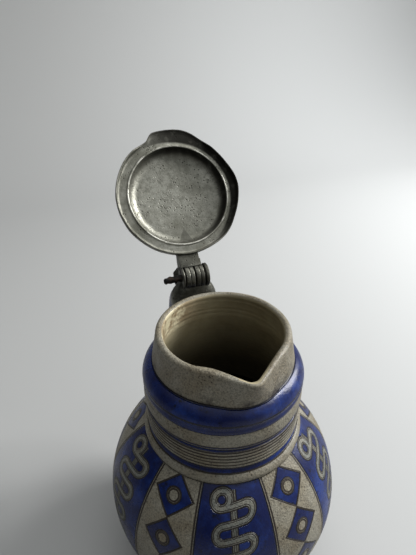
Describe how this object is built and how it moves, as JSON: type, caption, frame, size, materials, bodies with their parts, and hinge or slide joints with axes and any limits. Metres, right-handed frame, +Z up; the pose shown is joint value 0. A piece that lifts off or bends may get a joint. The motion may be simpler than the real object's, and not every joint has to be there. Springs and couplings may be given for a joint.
{
  "type": "stoneware jug",
  "caption": "Round-bellied salt-glazed stoneware jug with a wide ringed neck, pinched spout, strap handle and a hinged pewter lid standing open on its hinge.",
  "frame": {"origin": "centre of the flat foot, on the surface the jug stands on", "axes": "+Z up along the jug's axis, -Y towards the spout, +Y towards the handle and hinge, +X along the hinge pin"},
  "size_m": [0.1756, 0.2201, 0.324],
  "materials": {
    "stoneware": "salt-glazed grey stoneware with cobalt blue panels and bands, pitted like orange peel, glossy",
    "stoneware_handle": "salt-glazed stoneware washed with cobalt blue, glossy",
    "pewter": "old cast pewter, dull grey, speckled and finely pitted, half matte",
    "iron": "dark rusted iron wire, rough"
  },
  "bodies": {
    "jug": {"jug_body": "stoneware", "handle": "stoneware_handle", "handle_band": "pewter", "hinge_saddle": "pewter", "hinge_pin": "iron"},
    "lid": {"lid_cap": "pewter", "lid_hinge": "pewter", "thumb_lift": "pewter"}
  },
  "joints": [
    {"name": "lid_swing", "type": "hinge", "parent": "jug", "child": "lid", "pos_m": [0, 0.0642, 0.2274], "axis": [1, 0, 0], "range_deg": [0, 125.5]}
  ]
}
